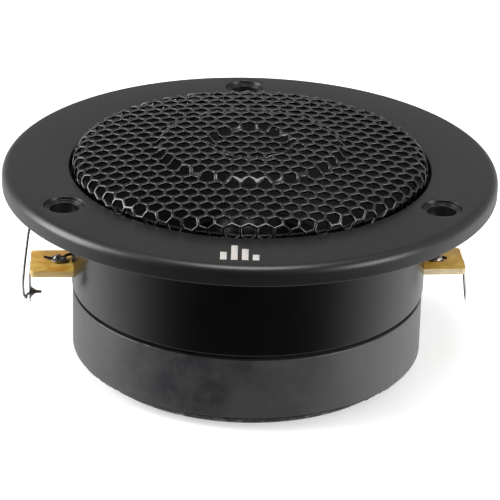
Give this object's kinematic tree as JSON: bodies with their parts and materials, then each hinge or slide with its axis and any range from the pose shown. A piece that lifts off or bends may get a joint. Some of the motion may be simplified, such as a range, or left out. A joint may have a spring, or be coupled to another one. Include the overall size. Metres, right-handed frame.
{
  "type": "car tweeter",
  "caption": "Round horn-loaded dome tweeter for a car: screw-down flange, domed hex mesh grille, ring magnet motor and series capacitor.",
  "frame": {"origin": "centre of the rear plate's outer face, on the axis", "axes": "+Z along the axis out of the sound opening; +Y towards the single top screw hole; -X towards the terminal that carries the capacitor"},
  "size_m": [0.105, 0.105, 0.0499],
  "materials": {
    "casting": "black satin powder coat on a die-cast aluminium body",
    "mesh": "black powder-coated perforated steel",
    "mark": "silver-white foil",
    "plug": "black moulded plastic with a soft shine",
    "gasket": "thin black foam rubber",
    "ring_plastic": "black moulded plastic",
    "surround": "thin coated cloth roll",
    "dome": "thin drawn metal foil",
    "former": "thin aluminium tube",
    "coil": "enamelled copper winding",
    "felt": "grey felt",
    "steel": "zinc-plated steel, darkened",
    "screw_steel": "zinc-plated steel",
    "pin_steel": "bright steel",
    "glue": "black structural adhesive",
    "ferrite": "dark grey ground ceramic ferrite with fine mottling",
    "board": "yellow-brown paper laminate",
    "tinned": "tinned brass, dulled",
    "lead_wire": "dark stiff wire",
    "solder": "bright solder",
    "capacitor": "dark sleeve",
    "seal": "black potting resin",
    "bed_glue": "tan hot-melt bed",
    "component_lead": "tinned component lead, dulled"
  },
  "bodies": {
    "tweeter": {"front_body": "casting", "grille": "mesh", "front_mark": "mark", "phase_plug": "plug", "diaphragm_gasket": "gasket", "diaphragm_ring": "ring_plastic", "surround": "surround", "damping_pad": "felt", "top_plate": "steel", "body_screws": "screw_steel", "locating_pins": "pin_steel", "glue_ring_front": "glue", "magnet": "ferrite", "glue_ring_rear": "glue", "yoke": "steel", "terminal_board_left": "board", "terminal_board_right": "board", "solder_tab_left": "tinned", "solder_tab_right": "tinned", "rivet_left": "tinned", "rivet_right": "tinned", "lead_out_left": "lead_wire", "lead_out_right": "lead_wire", "solder_joint_left": "solder", "solder_joint_right": "solder", "tab_solder_joint": "solder", "capacitor_case": "capacitor", "capacitor_seals": "seal", "capacitor_glue": "bed_glue", "capacitor_lead_to_tab": "component_lead", "capacitor_lead_free": "component_lead"},
    "diaphragm": {"dome": "dome", "coil_former": "former", "voice_coil": "coil"}
  },
  "joints": [
    {"name": "diaphragm_travel", "type": "slide", "parent": "tweeter", "child": "diaphragm", "axis": [0, 0, 1], "range_m": [-0.0004, 0.0004], "stiffness_N_per_m": 2500, "deforming": ["surround"]}
  ]
}
